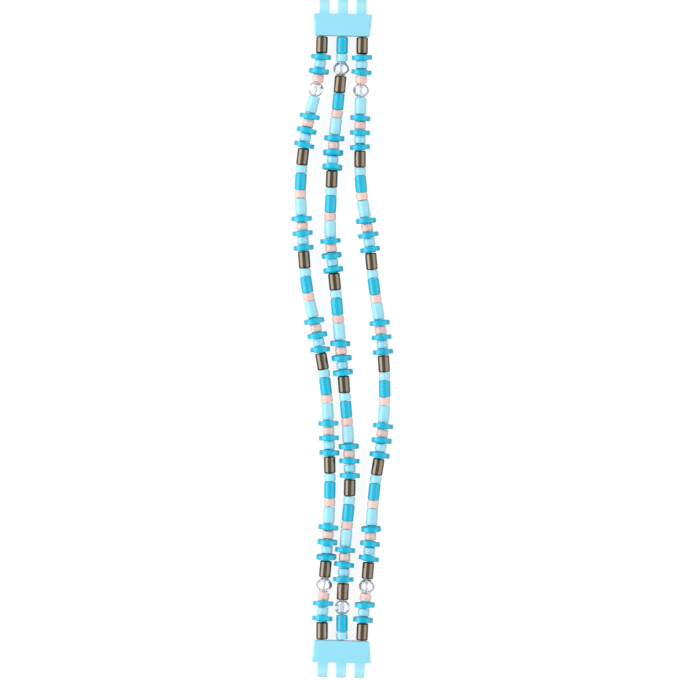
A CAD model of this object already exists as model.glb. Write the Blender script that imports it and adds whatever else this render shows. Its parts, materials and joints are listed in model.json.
# Looks of the beaded watch strap. Every bead is turned or cut anew where its solid lies in
# the frame, the moulded connectors get softened edges, and the elastic cords bend and
# stretch with the rows. Lengths are in metres, and MM turns millimetres into them.
import json
import math
import random

import bpy
import numpy as np
from mathutils import Matrix, Vector

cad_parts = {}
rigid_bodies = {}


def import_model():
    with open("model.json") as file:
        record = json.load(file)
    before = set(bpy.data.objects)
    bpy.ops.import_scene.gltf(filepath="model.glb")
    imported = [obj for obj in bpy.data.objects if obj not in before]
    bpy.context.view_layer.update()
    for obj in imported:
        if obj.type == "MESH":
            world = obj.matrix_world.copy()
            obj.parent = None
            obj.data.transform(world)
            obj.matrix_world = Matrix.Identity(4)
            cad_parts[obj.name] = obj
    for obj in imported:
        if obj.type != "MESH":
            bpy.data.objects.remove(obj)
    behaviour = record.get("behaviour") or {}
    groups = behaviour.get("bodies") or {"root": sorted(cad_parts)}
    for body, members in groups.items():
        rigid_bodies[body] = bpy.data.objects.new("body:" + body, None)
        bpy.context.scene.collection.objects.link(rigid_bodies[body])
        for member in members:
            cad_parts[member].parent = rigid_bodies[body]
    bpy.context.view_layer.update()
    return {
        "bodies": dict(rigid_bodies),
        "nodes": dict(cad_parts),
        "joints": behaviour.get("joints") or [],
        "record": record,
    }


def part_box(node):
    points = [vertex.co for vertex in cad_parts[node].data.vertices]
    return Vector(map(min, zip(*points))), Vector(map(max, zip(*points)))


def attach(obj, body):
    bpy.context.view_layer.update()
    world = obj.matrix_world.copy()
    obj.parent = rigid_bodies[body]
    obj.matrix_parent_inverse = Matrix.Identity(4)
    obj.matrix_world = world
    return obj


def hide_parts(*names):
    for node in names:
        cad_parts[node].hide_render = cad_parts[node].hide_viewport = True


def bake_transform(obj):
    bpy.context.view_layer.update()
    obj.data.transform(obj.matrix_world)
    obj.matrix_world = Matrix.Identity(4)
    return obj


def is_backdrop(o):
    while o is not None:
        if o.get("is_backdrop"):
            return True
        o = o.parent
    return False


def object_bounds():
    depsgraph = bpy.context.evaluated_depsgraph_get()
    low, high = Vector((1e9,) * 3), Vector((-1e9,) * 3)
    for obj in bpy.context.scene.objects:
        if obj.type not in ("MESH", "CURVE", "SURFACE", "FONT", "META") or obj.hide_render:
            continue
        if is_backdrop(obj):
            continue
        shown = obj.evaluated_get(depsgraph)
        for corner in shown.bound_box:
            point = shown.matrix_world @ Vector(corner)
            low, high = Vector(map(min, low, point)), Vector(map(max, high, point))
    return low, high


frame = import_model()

MM = 0.001
bodies = frame["record"]["behaviour"]["bodies"]
node_body = {node: body for body, nodes in bodies.items() for node in nodes}
chance = random.Random(11)

# Beads. Rims and widths are a little over the solids' and the crystals' ends and holes a little
# under, as the photo shows them.
LATHE_STEPS = 36
BEAD_HOLE_D = 1.0 * MM
LIPS = {"tube": 0.3 * MM, "small": 0.2 * MM, "disc": 0.1 * MM}
SMALL_BELLY = 0.015 * MM
DISC_RIM = 0.94 * MM
DISC_HUB_D = 2 * MM
DISC_SLOPE = 0.2 * MM
DISC_SOFT = 0.05 * MM
CRYSTAL_SIDES = 8
CRYSTAL_GIRDLE = 0.6 * MM
CRYSTAL_SHOULDER = 0.37
CRYSTAL_TIP_D = 1.5 * MM
CRYSTAL_HOLE_D = 0.8 * MM

# How beads of one kind differ: shares of length and width, wear of a wall, and degrees of tilt
LENGTH_SPREAD = (-0.012, 0.004)
WIDTH_SPREAD = (-0.02, 0)
WIDER = {"bronze_tubes": 0.03, "crystals": 0}
WIDER_OTHERS = 0.02
OUT_OF_ROUND = 0.006
MOST_WEAR = 0.012 * MM
TILT = {"disc": 3.2, "small": 1.6, "tube": 0.5, "crystal": 0.6}
MOST_TILT = 6.5

# Cords and knots
CORD_D = 0.6 * MM
CORD_SIDES = 10
RING_STEP = 0.4 * MM
CORD_END = 3 * MM
KNOT_D = 1.5 * MM
KNOT_INSET = 1.25 * MM
KNOT_STEPS = 48
KNOT_TURN = 0.93
KNOT_CORD = 0.85
KNOT_TAIL = 0.9
KNOT_TAIL_STEPS = (0.3, 0.6, 0.9, 1.2)

# Connectors
PRONG_LEN = 3.05 * MM
PALE_FADE = 1.5 * MM
MOULD_VOXEL = 0.09 * MM

# Light that goes under the surface of pale plastic, by colour
UNDER_SURFACE = (0.5, 0.9, 1.0)

# Studio
PHOTO_SIDE = 136.2 * MM
PHOTO_CENTRE = (-0.46 * MM, -0.34 * MM)
LENS_MM = 300
SENSOR_MM = 36
LAMP_AWAY = 0.6
LAMP_LENGTH = 2.0
ROOM_LIGHT = 0.42
FLOOR_REACH = 2.0
FLOOR_GLOW = 0.86
FLOOR_IN_GLOSS = 0.2


def srgb(r, g, b):
    """Colour written as 0 to 255 display values, as linear light."""
    def linear(v):
        v = v / 255
        return v / 12.92 if v <= 0.04045 else ((v + 0.055) / 1.055) ** 2.4
    return (linear(r), linear(g), linear(b), 1)


# Reading the frame

def solids(node):
    """Points of each separate solid in a node, as arrays."""
    mesh = frame["nodes"][node].data
    points = np.zeros(len(mesh.vertices) * 3)
    mesh.vertices.foreach_get("co", points)
    points = points.reshape(-1, 3)
    ends = np.zeros(len(mesh.edges) * 2, int)
    mesh.edges.foreach_get("vertices", ends)
    places, same = np.unique(np.round(points, 7), axis=0, return_inverse=True)
    same = same.reshape(-1)
    pairs = same[ends.reshape(-1, 2)]
    label = np.arange(len(places))
    while True:
        low = np.minimum(label[pairs[:, 0]], label[pairs[:, 1]])
        new = label.copy()
        np.minimum.at(new, pairs[:, 0], low)
        np.minimum.at(new, pairs[:, 1], low)
        if (new == label).all():
            break
        label = new
    return [places[label == n] for n in np.unique(label)]


class Bead:
    """One bead of the frame: its finish, shape, middle, axis, length and diameter."""

    def __init__(self, node, points):
        self.finish = node.rsplit("_", 1)[0]
        flat = points[:, :2] - points[:, :2].mean(0)
        axes = np.linalg.eigh(flat.T @ flat)[1].T
        along = max(axes, key=lambda a: abs(a[1]))
        along = along * (-1 if along[1] > 0 else 1)
        across = np.array([-along[1], along[0]])
        low = [(points[:, :2] @ a).min() for a in (along, across)]
        high = [(points[:, :2] @ a).max() for a in (along, across)]
        middle = (low[0] + high[0]) / 2 * along + (low[1] + high[1]) / 2 * across
        z = (points[:, 2].min() + points[:, 2].max()) / 2
        self.middle = Vector((middle[0], middle[1], z))
        self.turn = math.atan2(along[0], -along[1])
        self.length = high[0] - low[0]
        self.width = high[1] - low[1]
        if self.finish == "crystals":
            self.shape = "crystal"
        elif self.length > self.width:
            self.shape = "tube"
        elif self.finish == "turquoise_beads":
            self.shape = "disc"
        else:
            self.shape = "small"


def cord_line(node):
    """Middle points of a cord's rings, from the top connector down."""
    mesh = frame["nodes"][node].data
    points = np.unique(np.round([tuple(v.co) for v in mesh.vertices], 7), axis=0)
    points = points[np.argsort(-points[:, 1])]
    return points


STRANDS = ["left_cord", "middle_cord", "right_cord"]
beads = {node: [Bead(node, points) for points in solids(node)]
         for node in sorted(frame["nodes"]) if node not in STRANDS and "connector" not in node}
axis_z = min(b.middle.z for group in beads.values() for b in group)


# Building meshes

def add_piece(name, points, faces, smooth=True):
    mesh = bpy.data.meshes.new(name)
    mesh.from_pydata([tuple(p) for p in points], [], faces)
    mesh.update()
    if smooth:
        mesh.shade_smooth()
    piece = bpy.data.objects.new(name, mesh)
    bpy.context.scene.collection.objects.link(piece)
    return piece


def arc(cx, cy, r, start, end, steps):
    """Points on an arc, angles in degrees."""
    angles = [math.radians(start + (end - start) * i / steps) for i in range(steps + 1)]
    return [(cx + r * math.cos(a), cy + r * math.sin(a)) for a in angles]


def mirrored(half):
    """A bead's whole outline, from the half that runs from its end to its middle."""
    return half + [(r, -y) for r, y in reversed(half)]


def hole_edge(hole, h, inset, r):
    """Soft edge where a bead's hole opens at its end h, its middle inset from the hole's wall."""
    return arc(hole + inset, h - r, r, 180, 90, 2)


def tube_outline(length, width, hole, lip, wear):
    """Cut tube: nearly straight wall, softened lips, and a soft edge at the hole."""
    h, r = length / 2, width / 2
    half = hole_edge(hole, h, 0.06 * MM, 0.08 * MM)
    half += arc(r - lip, h - lip, lip, 90, 8, 5)
    half += [(r - wear, h - lip * 1.6), (r, h * 0.4), (r, h * 0.12)]
    return mirrored(half)


def small_outline(length, width, hole, lip, wear):
    """Small bead: a short cylinder with soft corners and the least belly."""
    h, r = length / 2, width / 2
    belly = SMALL_BELLY + wear
    half = hole_edge(hole, h, 0.07 * MM, 0.09 * MM)
    half += arc(r - lip - belly, h - lip, lip, 88, 6, 5)
    half += [(r - belly * 0.35, h * 0.4), (r, h * 0.12)]
    return mirrored(half)


def disc_outline(length, width, hole, lip, wear):
    """Disc with a flat hub that slopes down to a thinner rim, its corners a little soft."""
    h, r = length / 2, width / 2
    rim = DISC_RIM / 2 - wear
    hub = DISC_HUB_D / 2
    foot = hub + DISC_SLOPE
    soft = DISC_SOFT
    half = hole_edge(hole, h, 0.06 * MM, 0.07 * MM)
    half += arc(hub - soft / 2, h - soft, soft, 90, 45, 2)
    half += arc(foot + soft / 2, rim + soft, soft, 225, 270, 2)
    half += arc(r - lip, rim - lip, lip, 90, 6, 4)
    half += [(r, rim * 0.3)]
    return mirrored(half)


class Pile:
    """Points and faces of several beads, gathered into one mesh."""

    def __init__(self):
        self.points = []
        self.faces = []

    def add(self, points, faces):
        first = len(self.points)
        self.points += points
        self.faces += [tuple(first + i for i in face) for face in faces]


def lathe(outline, place, phase):
    """Closed ring of outline points turned round local Y, put in its place."""
    points = []
    for n in range(LATHE_STEPS):
        a = 2 * math.pi * n / LATHE_STEPS
        swell = 1 + OUT_OF_ROUND * math.cos(2 * a + phase)
        points += [
            place @ Vector((r * swell * math.cos(a), y, r * swell * math.sin(a)))
            for r, y in outline
        ]
    count = len(outline)
    faces = []
    for n in range(LATHE_STEPS):
        a, b = n * count, (n + 1) % LATHE_STEPS * count
        for i in range(count):
            j = (i + 1) % count
            faces.append((a + i, a + j, b + j, b + i))
    return points, faces


def crystal_mesh(length, width, place, phase):
    """Cut bead: flat tips, two rings of facets on each half and the girdle band."""
    sides = CRYSTAL_SIDES
    h, r = length / 2, width / 2
    girdle, tip, hole = CRYSTAL_GIRDLE / 2, CRYSTAL_TIP_D / 2, CRYSTAL_HOLE_D / 2
    shoulder = (r - (r - tip) * CRYSTAL_SHOULDER, (girdle + h) / 2)
    rows = [
        (hole, h, 0), (tip, h, 0), (shoulder[0], shoulder[1], 0.5), (r, girdle, 0),
        (r, -girdle, 0), (shoulder[0], -shoulder[1], 0.5), (tip, -h, 0), (hole, -h, 0),
    ]
    points = []
    for radius, y, half_step in rows:
        for n in range(sides):
            a = 2 * math.pi * (n + half_step) / sides + phase
            points.append(place @ Vector((radius * math.cos(a), y, radius * math.sin(a))))
    faces = []
    for row in range(len(rows)):
        after = (row + 1) % len(rows)
        step = rows[after][2] - rows[row][2]
        for n in range(sides):
            m = (n + 1) % sides
            a, b = row * sides + n, row * sides + m
            c, d = after * sides + n, after * sides + m
            if step == 0:
                faces.append((a, c, d, b))
            elif step > 0:
                faces += [(a, c, b), (b, c, d)]
            else:
                faces += [(a, c, d), (a, d, b)]
    return points, faces


def tilt(shape):
    """A bead's chance tilt on its cord, in radians, more on beads that sit looser."""
    limit = math.radians(MOST_TILT)
    return max(-limit, min(limit, math.radians(chance.gauss(0, 1)) * TILT[shape]))


def shape_bead(pile, bead):
    """Adds one bead with the small differences that real ones have."""
    length = bead.length * (1 + chance.uniform(*LENGTH_SPREAD))
    width = bead.width * (1 + WIDER.get(bead.finish, WIDER_OTHERS) + chance.uniform(*WIDTH_SPREAD))
    phase = chance.uniform(0, 2 * math.pi)
    yaw = tilt(bead.shape)
    lean = tilt(bead.shape)
    place = (
        Matrix.Translation(bead.middle)
        @ Matrix.Rotation(bead.turn + yaw, 4, "Z")
        @ Matrix.Rotation(lean, 4, "X")
    )
    wear = MOST_WEAR * chance.random()
    if bead.shape == "crystal":
        pile.add(*crystal_mesh(length, width, place, phase))
        return
    outline = {"tube": tube_outline, "small": small_outline, "disc": disc_outline}[bead.shape]
    points = outline(length, width, BEAD_HOLE_D / 2, LIPS[bead.shape], wear)
    pile.add(*lathe(points, place, phase))


def turn_all_beads():
    for node, group in beads.items():
        pile = Pile()
        for bead in sorted(group, key=lambda b: (round(b.middle.y, 5), b.middle.x)):
            shape_bead(pile, bead)
        finish = group[0].finish
        piece = add_piece("turned_" + node, pile.points, pile.faces, smooth=finish != "crystals")
        piece.data.materials.append(finishes[finish])
        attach(piece, node_body[node])
        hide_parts(node)


# Materials

def new_material(name):
    material = bpy.data.materials.new(name)
    material.use_nodes = True
    tree = material.node_tree
    shader = tree.nodes["Principled BSDF"]
    return material, tree, shader


def noise(tree, scale, detail, stretch=(1, 1, 1)):
    """Noise in the object's own space, stretched along an axis."""
    place = tree.nodes.new("ShaderNodeTexCoord").outputs["Object"]
    mapping = tree.nodes.new("ShaderNodeMapping")
    mapping.inputs["Scale"].default_value = stretch
    tree.links.new(place, mapping.inputs["Vector"])
    node = tree.nodes.new("ShaderNodeTexNoise")
    node.inputs["Scale"].default_value = scale
    node.inputs["Detail"].default_value = detail
    tree.links.new(mapping.outputs["Vector"], node.inputs["Vector"])
    return node.outputs["Fac"]


def ramp(tree, value, stops):
    node = tree.nodes.new("ShaderNodeValToRGB")
    tree.links.new(value, node.inputs["Fac"])
    elements = node.color_ramp.elements
    while len(elements) < len(stops):
        elements.new(0.5)
    for element, (position, colour) in zip(elements, stops):
        element.position = position
        element.color = colour
    return node.outputs["Color"]


def mix(tree, factor, a, b):
    """Colour mix; each of factor, a and b is a number, a colour or an output."""
    node = tree.nodes.new("ShaderNodeMix")
    node.data_type = "RGBA"
    for value, socket in ((factor, node.inputs[0]), (a, node.inputs[6]), (b, node.inputs[7])):
        if hasattr(value, "is_output"):
            tree.links.new(value, socket)
        else:
            socket.default_value = value
    return node.outputs[2]


def scaled(tree, value, low, high):
    """A 0 to 1 value spread over low to high."""
    node = tree.nodes.new("ShaderNodeMapRange")
    node.inputs["To Min"].default_value = low
    node.inputs["To Max"].default_value = high
    tree.links.new(value, node.inputs["Value"])
    return node.outputs["Result"]


def bump(tree, height, depth, strength):
    node = tree.nodes.new("ShaderNodeBump")
    node.inputs["Distance"].default_value = depth
    node.inputs["Strength"].default_value = strength
    tree.links.new(height, node.inputs["Height"])
    return node.outputs["Normal"]


def along_strap(tree, coords):
    """Size of the part along the strap of the object's place or normal."""
    split = tree.nodes.new("ShaderNodeSeparateXYZ")
    tree.links.new(tree.nodes.new("ShaderNodeTexCoord").outputs[coords], split.inputs[0])
    along = tree.nodes.new("ShaderNodeMath")
    along.operation = "ABSOLUTE"
    tree.links.new(split.outputs["Y"], along.inputs[0])
    return along.outputs[0]


def rubbed_edges(tree):
    """0 on the walls of a bead, up to 1 in patches on its corners, where beads rub."""
    corners = tree.nodes.new("ShaderNodeMapRange")
    corners.inputs["From Min"].default_value = 0.51
    corners.inputs["From Max"].default_value = 0.58
    pointed = tree.nodes.new("ShaderNodeNewGeometry").outputs["Pointiness"]
    tree.links.new(pointed, corners.inputs["Value"])
    patches = tree.nodes.new("ShaderNodeMapRange")
    patches.inputs["From Min"].default_value = 0.4
    patches.inputs["From Max"].default_value = 0.65
    tree.links.new(noise(tree, 1700, 4), patches.inputs["Value"])
    both = tree.nodes.new("ShaderNodeMath")
    both.operation = "MULTIPLY"
    tree.links.new(corners.outputs["Result"], both.inputs[0])
    tree.links.new(patches.outputs["Result"], both.inputs[1])
    return both.outputs[0]


def cut_ends(tree):
    """0 on the wall of a tube, 1 on its cut ends, by how far the surface faces along the strap."""
    ends = tree.nodes.new("ShaderNodeMapRange")
    ends.inputs["From Min"].default_value = 0.1
    ends.inputs["From Max"].default_value = 0.45
    tree.links.new(along_strap(tree, "Normal"), ends.inputs["Value"])
    return ends.outputs["Result"]


def bead_plastic(name, base, deep, roughness, glow=0.0):
    """Moulded bead plastic: shade differs from bead to bead, faint flow marks, gloss, and
    paler, duller patches where the corners rub. Light goes under the surface by glow."""
    material, tree, shader = new_material(name)
    each = tree.nodes.new("ShaderNodeNewGeometry").outputs["Random Per Island"]
    flow = noise(tree, 900, 4, stretch=(1, 0.25, 1))
    rubbed = rubbed_edges(tree)
    shade = mix(tree, each, base, deep)
    shade = mix(tree, scaled(tree, flow, 0.0, 0.25), shade, deep)
    shade = mix(tree, scaled(tree, rubbed, 0.0, 0.22), shade, srgb(240, 246, 248))
    tree.links.new(shade, shader.inputs["Base Color"])
    gloss = scaled(tree, noise(tree, 2500, 2), roughness * 0.7, roughness * 1.4)
    dulled = tree.nodes.new("ShaderNodeMath")
    dulled.operation = "MULTIPLY_ADD"
    tree.links.new(rubbed, dulled.inputs[0])
    dulled.inputs[1].default_value = 0.25
    tree.links.new(gloss, dulled.inputs[2])
    tree.links.new(dulled.outputs[0], shader.inputs["Roughness"])
    tree.links.new(bump(tree, noise(tree, 1400, 3), 0.01 * MM, 0.5), shader.inputs["Normal"])
    shader.inputs["IOR"].default_value = 1.55
    if glow:
        shader.inputs["Subsurface Weight"].default_value = glow
        shader.inputs["Subsurface Radius"].default_value = UNDER_SURFACE
        shader.inputs["Subsurface Scale"].default_value = 0.5 * MM
    return material


def turquoise_plastic():
    return bead_plastic("turquoise plastic", srgb(0, 188, 220), srgb(0, 178, 210), 0.2)


def pale_blue_plastic():
    return bead_plastic("pale blue plastic", srgb(168, 226, 242), srgb(152, 218, 236), 0.18, 0.3)


def pink_plastic():
    return bead_plastic("pink plastic", srgb(240, 205, 196), srgb(230, 191, 183), 0.2, 0.25)


def bronze_metal():
    """Bronze metallised surface with fine drawn lines along the tube, dark cut ends and
    brighter patches where the corners rub."""
    material, tree, shader = new_material("bronze metallised")
    each = tree.nodes.new("ShaderNodeNewGeometry").outputs["Random Per Island"]
    lines = noise(tree, 2200, 3, stretch=(1, 0.06, 1))
    shade = mix(tree, each, srgb(118, 102, 78), srgb(106, 90, 66))
    shade = mix(tree, scaled(tree, lines, 0.0, 0.3), shade, srgb(84, 68, 46))
    ends = cut_ends(tree)
    shade = mix(tree, scaled(tree, ends, 0.0, 0.85), shade, srgb(36, 30, 22))
    shade = mix(tree, scaled(tree, rubbed_edges(tree), 0.0, 0.4), shade, srgb(176, 158, 124))
    tree.links.new(shade, shader.inputs["Base Color"])
    shader.inputs["Metallic"].default_value = 1.0
    tree.links.new(scaled(tree, ends, 1.0, 0.15), shader.inputs["Coat Weight"])
    shader.inputs["Coat IOR"].default_value = 1.7
    shader.inputs["Coat Roughness"].default_value = 0.2
    tree.links.new(scaled(tree, lines, 0.16, 0.26), shader.inputs["Roughness"])
    tree.links.new(bump(tree, lines, 0.002 * MM, 0.6), shader.inputs["Normal"])
    return material


def crystal_clear():
    """Clear faceted bead with faint greyish flow lines along its hole."""
    material, tree, shader = new_material("clear crystal")
    flow = noise(tree, 1800, 2, stretch=(1, 0.15, 1))
    tree.links.new(ramp(tree, flow, [(0.4, srgb(250, 252, 253)), (0.65, srgb(222, 225, 231))]),
                   shader.inputs["Base Color"])
    tree.links.new(scaled(tree, flow, 0.0, 0.05), shader.inputs["Roughness"])
    shader.inputs["Transmission Weight"].default_value = 0.86
    shader.inputs["IOR"].default_value = 1.28
    return material


def connector_plastic(prong_root):
    """Satin moulded plastic with a fine spark-eroded grain, paler in the thin prongs that
    start prong_root from the middle of the strap."""
    material, tree, shader = new_material("satin connector plastic")
    cloud = noise(tree, 220, 3)
    grain = noise(tree, 5200, 2)
    thin = tree.nodes.new("ShaderNodeMapRange")
    thin.inputs["From Min"].default_value = prong_root
    thin.inputs["From Max"].default_value = prong_root + PALE_FADE
    thin.inputs["To Max"].default_value = 0.7
    tree.links.new(along_strap(tree, "Object"), thin.inputs["Value"])
    body = mix(tree, cloud, srgb(150, 221, 240), srgb(144, 216, 237))
    shade = mix(tree, thin.outputs["Result"], body, srgb(176, 232, 244))
    tree.links.new(shade, shader.inputs["Base Color"])
    tree.links.new(scaled(tree, cloud, 0.36, 0.5), shader.inputs["Roughness"])
    tree.links.new(bump(tree, grain, 0.012 * MM, 0.35), shader.inputs["Normal"])
    shader.inputs["Subsurface Weight"].default_value = 0.2
    shader.inputs["Subsurface Radius"].default_value = UNDER_SURFACE
    shader.inputs["Subsurface Scale"].default_value = 0.8 * MM
    return material


def clear_elastic():
    """Milky clear elastic, faintly cloudy."""
    material, tree, shader = new_material("clear elastic")
    cloud = noise(tree, 900, 2)
    tree.links.new(ramp(tree, cloud, [(0.3, srgb(234, 241, 243)), (0.7, srgb(220, 230, 234))]),
                   shader.inputs["Base Color"])
    tree.links.new(scaled(tree, cloud, 0.2, 0.32), shader.inputs["Roughness"])
    tree.links.new(bump(tree, cloud, 0.02 * MM, 0.5), shader.inputs["Normal"])
    shader.inputs["Transmission Weight"].default_value = 0.5
    shader.inputs["IOR"].default_value = 1.45
    return material


finishes = {
    "bronze_tubes": bronze_metal(),
    "turquoise_beads": turquoise_plastic(),
    "pale_blue_beads": pale_blue_plastic(),
    "pink_beads": pink_plastic(),
    "crystals": crystal_clear(),
}
elastic = clear_elastic()


# Connectors

def mould_connector(node, material):
    """The connector's solid with its edges softened as a mould leaves them."""
    piece = bpy.data.objects.new("moulded_" + node, frame["nodes"][node].data.copy())
    bpy.context.scene.collection.objects.link(piece)
    piece.data.materials.clear()
    weld = piece.modifiers.new("weld", "WELD")
    weld.merge_threshold = 0.001 * MM
    remesh = piece.modifiers.new("remesh", "REMESH")
    remesh.mode = "VOXEL"
    remesh.voxel_size = MOULD_VOXEL
    smooth = piece.modifiers.new("smooth", "SMOOTH")
    smooth.factor = 0.5
    smooth.iterations = 6
    thin = piece.modifiers.new("thin", "DECIMATE")
    thin.ratio = 0.3
    graph = bpy.context.evaluated_depsgraph_get()
    mesh = bpy.data.meshes.new_from_object(piece.evaluated_get(graph))
    piece.modifiers.clear()
    piece.data = mesh
    mesh.shade_smooth()
    mesh.materials.clear()
    mesh.materials.append(material)
    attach(piece, node_body[node])
    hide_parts(node)


# Cords

def strand_beads(cord):
    """The beads that a cord runs through, from the top connector down."""
    lines = {name: cord_line(name) for name in STRANDS}
    mine = []
    for node, group in beads.items():
        for bead in group:
            near = {
                name: abs(np.interp(-bead.middle.y, -points[:, 1], points[:, 0]) - bead.middle.x)
                for name, points in lines.items()
            }
            if min(near, key=near.get) == cord:
                mine.append((bead.middle, node_body[node]))
    return sorted(mine, key=lambda entry: -entry[0].y)


def tube_mesh(route, radius):
    """Closed tube along route points."""
    sides = CORD_SIDES
    turns = [2 * math.pi * n / sides for n in range(sides)]
    points = []
    for i, p in enumerate(route):
        way = (route[min(i + 1, len(route) - 1)] - route[max(i - 1, 0)]).normalized()
        up = Vector((0, 0, 1)) if abs(way.z) < 0.9 else Vector((1, 0, 0))
        side = way.cross(up).normalized()
        up = side.cross(way)
        points += [p + radius * (math.cos(a) * side + math.sin(a) * up) for a in turns]
    faces = []
    for i in range(len(route) - 1):
        a, b = i * sides, (i + 1) * sides
        faces += [(a + n, a + (n + 1) % sides, b + (n + 1) % sides, b + n) for n in range(sides)]
    faces.append(tuple(reversed(range(sides))))
    faces.append(tuple((len(route) - 1) * sides + n for n in range(sides)))
    return points, faces


def resampled(points, top, bottom, step):
    """Evenly spaced points on a strand's line between two places along the strap."""
    ys = np.array([-p.y for p in points])
    xs = np.array([p.x for p in points])
    count = max(2, int(round((top - bottom) / step)) + 1)
    places = np.linspace(top, bottom, count)
    return [Vector((float(np.interp(-y, ys, xs)), float(y), points[0].z)) for y in places]


def string_cords():
    """One piece for each joint: the stretches of cord from the row before to the row after."""
    strands = [strand_beads(cord) for cord in STRANDS]
    ends = []
    for cord in STRANDS:
        points = cord_line(cord)
        top = points[points[:, 1] > points[0, 1] - CORD_END]
        bottom = points[points[:, 1] < points[-1, 1] + CORD_END]
        ends.append([Vector((a[:, 0].mean(), a[:, 1].mean(), axis_z)) for a in (top, bottom)])
    chain = [frame["joints"][0]["parent"]] + [j["child"] for j in frame["joints"]]
    for joint in frame["joints"]:
        pile = Pile()
        for line, (head, tail) in zip(strands, ends):
            route = [head] + [p for p, _ in line] + [tail]
            owner = [chain[0]] + [body for _, body in line] + [chain[-1]]
            upper = [p for p, body in zip(route, owner) if body == joint["parent"]]
            lower = [p for p, body in zip(route, owner) if body == joint["child"]]
            top = (upper[0].y + upper[-1].y) / 2
            bottom = (lower[0].y + lower[-1].y) / 2
            pile.add(*tube_mesh(resampled(route, top, bottom, RING_STEP), CORD_D / 2))
        piece = add_piece("cords_at_" + joint["name"], pile.points, pile.faces)
        piece.data.materials.append(elastic)
        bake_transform(piece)
        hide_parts(*STRANDS)


def overhand_knot(core):
    """Points of an open trefoil round a place, which is an overhand knot's form."""
    size = (KNOT_D - CORD_D) / 6
    points = []
    for i in range(KNOT_STEPS + 1):
        t = 2 * math.pi * i / KNOT_STEPS * KNOT_TURN
        x = math.sin(t) + 2 * math.sin(2 * t)
        y = math.cos(t) - 2 * math.cos(2 * t)
        points.append(core + size * Vector((x, y, -1.6 * math.sin(3 * t))))
    return points


def tie_knots():
    """An overhand knot at each end of each cord, in its pocket."""
    ends = (("top_connector", 0, 1, "knots_top"), ("bottom_connector", -1, -1, "knots_bottom"))
    for body, end, side, name in ends:
        pile = Pile()
        for cord in STRANDS:
            tip = cord_line(cord)[end]
            core = Vector((tip[0], tip[1] - side * KNOT_INSET, axis_z))
            pile.add(*tube_mesh(overhand_knot(core), CORD_D / 2 * KNOT_CORD))
            tail = [core + Vector((0, side * d * MM, 0)) for d in KNOT_TAIL_STEPS]
            pile.add(*tube_mesh(tail, CORD_D / 2 * KNOT_TAIL))
        piece = add_piece(name, pile.points, pile.faces)
        piece.data.materials.append(elastic)
        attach(piece, body)


# Studio

def seen_directly(tree):
    """1 for a ray from the camera or through clear plastic, 0 for one that lights something."""
    path = tree.nodes.new("ShaderNodeLightPath")
    seen = tree.nodes.new("ShaderNodeMath")
    seen.operation = "MAXIMUM"
    tree.links.new(path.outputs["Is Camera Ray"], seen.inputs[0])
    tree.links.new(path.outputs["Is Transmission Ray"], seen.inputs[1])
    return seen.outputs[0]


def floor():
    """Pale floor just under the lowest bead. It meets the eye as white and keeps a soft shadow."""
    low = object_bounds()[0][2]
    signs = ((-1, -1), (1, -1), (1, 1), (-1, 1))
    corners = [(x * FLOOR_REACH, y * FLOOR_REACH, low) for x, y in signs]
    piece = add_piece("floor", corners, [(0, 1, 2, 3)], smooth=False)
    material, tree, shader = new_material("pale floor")
    tone = ramp(tree, noise(tree, 40, 2), [(0.3, srgb(148, 148, 148)), (0.7, srgb(153, 153, 153))])
    tree.links.new(tone, shader.inputs["Base Color"])
    shader.inputs["Roughness"].default_value = 0.9
    shader.inputs["Specular IOR Level"].default_value = 0.1
    path = tree.nodes.new("ShaderNodeLightPath")
    with_gloss = tree.nodes.new("ShaderNodeMath")
    with_gloss.operation = "MULTIPLY_ADD"
    tree.links.new(path.outputs["Is Glossy Ray"], with_gloss.inputs[0])
    with_gloss.inputs[1].default_value = FLOOR_IN_GLOSS
    tree.links.new(seen_directly(tree), with_gloss.inputs[2])
    strength = tree.nodes.new("ShaderNodeMath")
    strength.operation = "MULTIPLY"
    tree.links.new(with_gloss.outputs[0], strength.inputs[0])
    strength.inputs[1].default_value = FLOOR_GLOW
    shader.inputs["Emission Color"].default_value = (1, 1, 1, 1)
    tree.links.new(strength.outputs[0], shader.inputs["Emission Strength"])
    piece.data.materials.append(material)
    piece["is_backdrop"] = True
    keep_below(piece)


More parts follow.
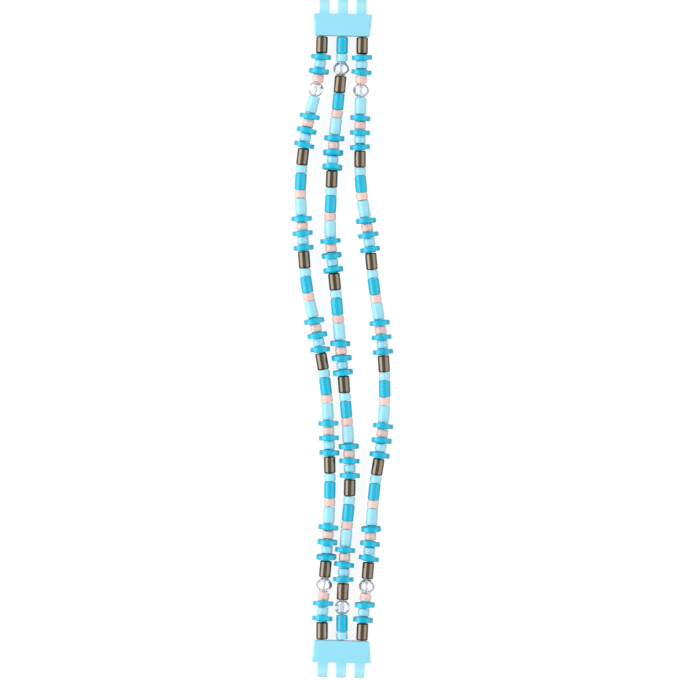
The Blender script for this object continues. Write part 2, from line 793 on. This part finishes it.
def keep_below(piece):
    """Holds the floor under both ends of every row. At rest it stays in place, and a bent strap
    hangs over it instead of going through it."""
    for body, holder in frame["bodies"].items():
        corners = [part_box(node) for node in bodies[body] if node not in STRANDS]
        for y in (min(low.y for low, high in corners), max(high.y for low, high in corners)):
            mark = bpy.data.objects.new("row_end_" + body, None)
            bpy.context.scene.collection.objects.link(mark)
            mark.parent = holder
            mark.location = (0, y, axis_z)
            limit = piece.constraints.new("FLOOR")
            limit.target = mark
            limit.floor_location = "FLOOR_NEGATIVE_Z"
            limit.offset = -axis_z


def softbox(name, off_vertical, breadth, radiance):
    """Long softbox beside the strap, aimed at it, its middle so many degrees off vertical and
    so many degrees broad. A negative breadth puts it on the right."""
    light = bpy.data.lights.new(name, "AREA")
    light.shape = "RECTANGLE"
    light.size = LAMP_LENGTH
    light.size_y = 2 * LAMP_AWAY * math.tan(math.radians(abs(breadth) / 2))
    light.energy = radiance * math.pi * light.size * light.size_y
    lamp = bpy.data.objects.new(name, light)
    angle = math.copysign(math.radians(off_vertical), breadth)
    lamp.location = (-LAMP_AWAY * math.sin(angle), 0, LAMP_AWAY * math.cos(angle))
    lamp.rotation_euler = (-lamp.location).to_track_quat("-Z", "Y").to_euler()
    bpy.context.scene.collection.objects.link(lamp)


def studio():
    floor()
    softbox("left box", 62, 50, 2.5)
    softbox("right box", 60, -56, 1.3)
    world = bpy.data.worlds.new("room")
    bpy.context.scene.world = world
    world.use_nodes = True
    tree = world.node_tree
    background = tree.nodes["Background"]
    background.inputs["Color"].default_value = srgb(249, 249, 249)
    strength = scaled(tree, seen_directly(tree), ROOM_LIGHT, 1.0)
    tree.links.new(strength, background.inputs["Strength"])


def camera():
    data = bpy.data.cameras.new("camera")
    data.lens = LENS_MM
    data.sensor_width = SENSOR_MM
    data.clip_start = 0.01
    data.clip_end = 10
    eye = bpy.data.objects.new("camera", data)
    distance = PHOTO_SIDE * LENS_MM / SENSOR_MM
    eye.location = (PHOTO_CENTRE[0], PHOTO_CENTRE[1], axis_z + distance)
    bpy.context.scene.collection.objects.link(eye)
    bpy.context.scene.camera = eye


camera()
turn_all_beads()
satin = connector_plastic(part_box("top_connector")[1].y - PRONG_LEN)
mould_connector("top_connector", satin)
mould_connector("bottom_connector", satin)
string_cords()
tie_knots()
studio()
bpy.context.scene.view_settings.view_transform = "Standard"
